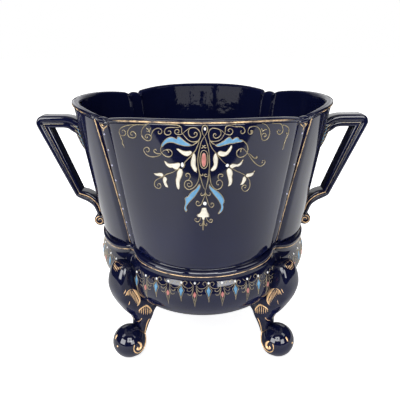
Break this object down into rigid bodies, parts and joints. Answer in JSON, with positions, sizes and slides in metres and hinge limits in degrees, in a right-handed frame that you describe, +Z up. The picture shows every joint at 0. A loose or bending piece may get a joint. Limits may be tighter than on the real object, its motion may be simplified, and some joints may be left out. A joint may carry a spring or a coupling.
{
  "type": "cachepot",
  "caption": "Four-lobed glazed earthenware pot holder with an upright handle on each side and a squat lobed base on scroll feet, made to hide and hold a plain planted flower pot",
  "frame": {"origin": "On the floor, midway between the feet, under the middle of the pot", "axes": "X runs through both handles, Y from the painted front at -Y to the plainer back, Z up"},
  "size_m": [0.321, 0.2422, 0.2434],
  "materials": {
    "cobalt_glaze": "very dark blue gloss glaze, worn gilding on its edges and raised enamel ornament on the front"
  },
  "bodies": {
    "root": {"cachepot": "cobalt_glaze"}
  },
  "joints": []
}
